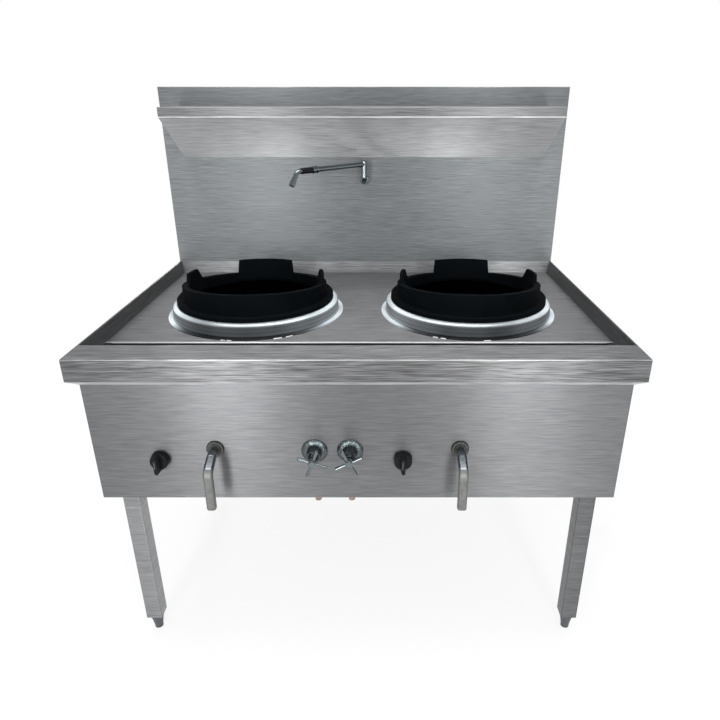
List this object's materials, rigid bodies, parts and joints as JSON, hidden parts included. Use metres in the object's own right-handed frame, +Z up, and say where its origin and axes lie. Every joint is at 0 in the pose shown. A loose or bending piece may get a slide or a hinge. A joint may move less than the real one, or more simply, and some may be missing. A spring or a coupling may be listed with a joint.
{
  "type": "wok range",
  "caption": "Free-standing gas wok range in folded stainless steel, with cast wok rings, gutter, flue splashback with shelf, swing spout, cross taps, gas levers and pilot knobs.",
  "frame": {"origin": "on the floor, under the centre of the whole range's box", "axes": "+X to the cook's right, +Y from the cook to the wall, +Z up"},
  "size_m": [1.2, 0.962, 1.316],
  "materials": {
    "worktop_steel": "horizontally brushed stainless sheet",
    "panel_steel": "horizontally brushed stainless sheet",
    "spun_steel": "spun and polished stainless sheet",
    "leg_steel": "brushed stainless square tube",
    "chamber_steel": "heat-resisting black paint",
    "cast_iron": "matt black cast iron, fine sand texture",
    "burner_iron": "raw cast iron, heat stained",
    "refractory": "cast insulating refractory, sooty",
    "gas_pipe": "painted steel gas pipe",
    "valve_brass": "turned brass",
    "lever_zinc": "satin nickel plate on zinc casting",
    "bush_steel": "blackened steel",
    "black_plastic": "black heat-resisting plastic",
    "stem_steel": "drawn steel rod",
    "chrome": "polished chrome plate",
    "copper_pipe": "bright copper tube",
    "foot_steel": "dark grey enamel"
  },
  "bodies": {
    "range": {"worktop_deck": "worktop_steel", "front_rim": "worktop_steel", "left_side_rim": "worktop_steel", "right_side_rim": "worktop_steel", "gutter_trough": "worktop_steel", "waste_outlet": "spun_steel", "front_panel": "panel_steel", "left_side_panel": "panel_steel", "right_side_panel": "panel_steel", "back_panel": "panel_steel", "splashback_panel": "panel_steel", "flue_cover": "panel_steel", "flue_grille": "panel_steel", "shelf": "panel_steel", "leg_inserts": "stem_steel", "front_rail": "leg_steel", "back_rail": "leg_steel", "left_rail": "leg_steel", "right_rail": "leg_steel", "lever_bushes": "bush_steel", "gas_valves": "valve_brass", "pilot_valves": "valve_brass", "gas_manifold": "gas_pipe", "burner_pipes": "gas_pipe", "pilot_burners": "valve_brass", "tap_bodies": "chrome", "water_pipes": "copper_pipe", "spout_body": "chrome", "front_left_leg": "leg_steel", "front_right_leg": "leg_steel", "back_left_leg": "leg_steel", "back_right_leg": "leg_steel", "left_collar": "spun_steel", "left_chamber": "chamber_steel", "left_lining": "refractory", "left_burner_head": "burner_iron", "left_flue_duct": "chamber_steel", "right_collar": "spun_steel", "right_chamber": "chamber_steel", "right_lining": "refractory", "right_burner_head": "burner_iron", "right_flue_duct": "chamber_steel"},
    "front_left_foot": {"front_left_foot": "foot_steel"},
    "front_right_foot": {"front_right_foot": "foot_steel"},
    "back_left_foot": {"back_left_foot": "foot_steel"},
    "back_right_foot": {"back_right_foot": "foot_steel"},
    "left_wok_ring": {"left_wok_ring": "cast_iron"},
    "left_gas_lever": {"left_gas_lever": "lever_zinc"},
    "left_knob_stem": {"left_knob_stem": "stem_steel"},
    "left_knob": {"left_knob": "black_plastic"},
    "left_tap_handle": {"left_tap_handle": "chrome"},
    "right_wok_ring": {"right_wok_ring": "cast_iron"},
    "right_gas_lever": {"right_gas_lever": "lever_zinc"},
    "right_knob_stem": {"right_knob_stem": "stem_steel"},
    "right_knob": {"right_knob": "black_plastic"},
    "right_tap_handle": {"right_tap_handle": "chrome"},
    "gutter_strainer": {"gutter_strainer": "spun_steel"},
    "spout_arm": {"spout_arm": "chrome", "spout_grip": "black_plastic", "spout_nozzle": "chrome"}
  },
  "joints": [
    {"name": "front_left_foot_height", "type": "slide", "parent": "range", "child": "front_left_foot", "axis": [0, 0, -1], "range_m": [0, 0.02]},
    {"name": "front_right_foot_height", "type": "slide", "parent": "range", "child": "front_right_foot", "axis": [0, 0, -1], "range_m": [0, 0.02]},
    {"name": "back_left_foot_height", "type": "slide", "parent": "range", "child": "back_left_foot", "axis": [0, 0, -1], "range_m": [0, 0.02]},
    {"name": "back_right_foot_height", "type": "slide", "parent": "range", "child": "back_right_foot", "axis": [0, 0, -1], "range_m": [0, 0.02]},
    {"name": "left_wok_ring_lift", "type": "slide", "parent": "range", "child": "left_wok_ring", "axis": [0, 0, 1], "range_m": [0, 0.15]},
    {"name": "left_gas_lever_swing", "type": "hinge", "parent": "range", "child": "left_gas_lever", "pos_m": [-0.312, -0.399, 0.581], "axis": [0, -1, 0], "range_deg": [0, 90]},
    {"name": "left_knob_push", "type": "slide", "parent": "range", "child": "left_knob_stem", "axis": [0, 1, 0], "range_m": [0, 0.004], "stiffness_N_per_m": 600, "springref_m": -0.002},
    {"name": "left_knob_turn", "type": "hinge", "parent": "left_knob_stem", "child": "left_knob", "pos_m": [-0.434, -0.399, 0.556], "axis": [0, -1, 0], "range_deg": [0, 180]},
    {"name": "left_tap_turn", "type": "hinge", "parent": "range", "child": "left_tap_handle", "pos_m": [-0.095, -0.399, 0.575], "axis": [0, -1, 0], "range_deg": [0, 540]},
    {"name": "right_wok_ring_lift", "type": "slide", "parent": "range", "child": "right_wok_ring", "axis": [0, 0, 1], "range_m": [0, 0.15]},
    {"name": "right_gas_lever_swing", "type": "hinge", "parent": "range", "child": "right_gas_lever", "pos_m": [0.224, -0.399, 0.581], "axis": [0, -1, 0], "range_deg": [0, 90]},
    {"name": "right_knob_push", "type": "slide", "parent": "range", "child": "right_knob_stem", "axis": [0, 1, 0], "range_m": [0, 0.004], "stiffness_N_per_m": 600, "springref_m": -0.002},
    {"name": "right_knob_turn", "type": "hinge", "parent": "right_knob_stem", "child": "right_knob", "pos_m": [0.099, -0.399, 0.556], "axis": [0, -1, 0], "range_deg": [0, 180]},
    {"name": "right_tap_turn", "type": "hinge", "parent": "range", "child": "right_tap_handle", "pos_m": [-0.017, -0.399, 0.575], "axis": [0, -1, 0], "range_deg": [0, 540]},
    {"name": "gutter_strainer_lift", "type": "slide", "parent": "range", "child": "gutter_strainer", "axis": [0, 0, 1], "range_m": [0, 0.08]},
    {"name": "spout_swing", "type": "hinge", "parent": "range", "child": "spout_arm", "pos_m": [0, 0.341, 1.1], "axis": [0, 0, 1], "range_deg": [-42, 126]}
  ]
}
